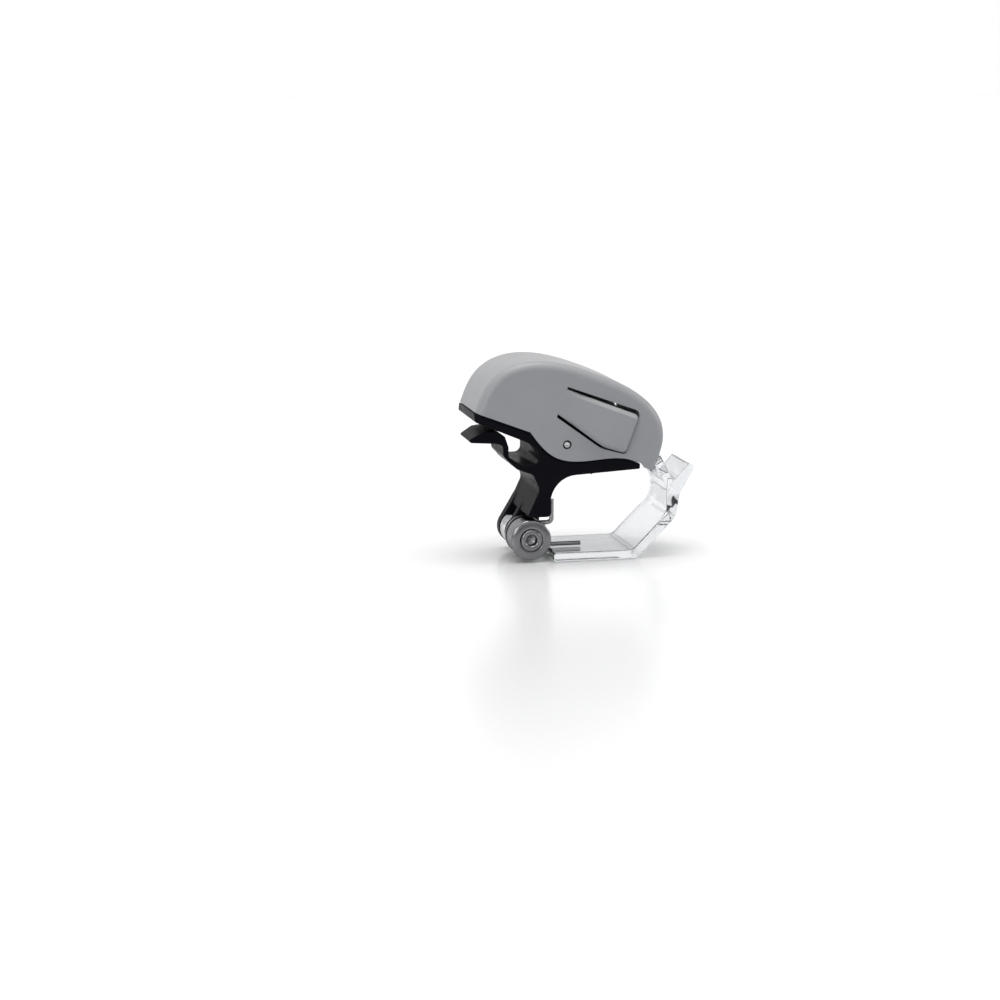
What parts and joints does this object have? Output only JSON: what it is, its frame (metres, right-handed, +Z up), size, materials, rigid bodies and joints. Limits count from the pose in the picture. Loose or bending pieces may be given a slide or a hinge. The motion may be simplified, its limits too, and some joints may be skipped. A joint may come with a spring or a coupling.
{
  "type": "cable clip",
  "caption": "Hinged clamp for a coiled cable: pitched hollow shell on a black frame with a springy cord keeper, a clear toothed lower jaw on a sprung hinge pin and squeeze tabs.",
  "frame": {"origin": "middle of the flat underside of the closed lower jaw, which the clip stands on", "axes": "+X from the hinge towards the jaw's thumb lip, +Y from the near side to the far side along the hinge pin, +Z up"},
  "size_m": [0.0503, 0.024, 0.0442],
  "materials": {
    "grey_moulding": "satin grey moulding",
    "black_moulding": "glossy black moulding",
    "clear_moulding": "clear polished moulding",
    "bright_steel": "bright drawn and turned steel"
  },
  "bodies": {
    "upper": {"frame": "black_moulding", "shell": "grey_moulding", "cross_pin": "bright_steel", "hinge_pin": "bright_steel", "spring_washer_near": "bright_steel", "spring_washer_inner": "bright_steel", "torsion_spring": "bright_steel"},
    "jaw": {"lower_jaw": "clear_moulding"},
    "tab_near": {"squeeze_tab_near": "grey_moulding"},
    "tab_far": {"squeeze_tab_far": "grey_moulding"}
  },
  "joints": [
    {"name": "jaw_hinge", "type": "hinge", "parent": "upper", "child": "jaw", "pos_m": [-0.01431, 0, 0.005], "axis": [0, 1, 0], "range_deg": [0, 70], "deforming": ["torsion_spring"]},
    {"name": "near_tab_flex", "type": "hinge", "parent": "upper", "child": "tab_near", "pos_m": [-0.00831, -0.0089, 0.03375], "axis": [0.3518, 0, 0.9361], "range_deg": [0, 4.5], "stiffness_Nm_per_rad": 0.5},
    {"name": "far_tab_flex", "type": "hinge", "parent": "upper", "child": "tab_far", "pos_m": [-0.00831, 0.0089, 0.03375], "axis": [-0.3518, 0, -0.9361], "range_deg": [0, 4.5], "stiffness_Nm_per_rad": 0.5}
  ]
}
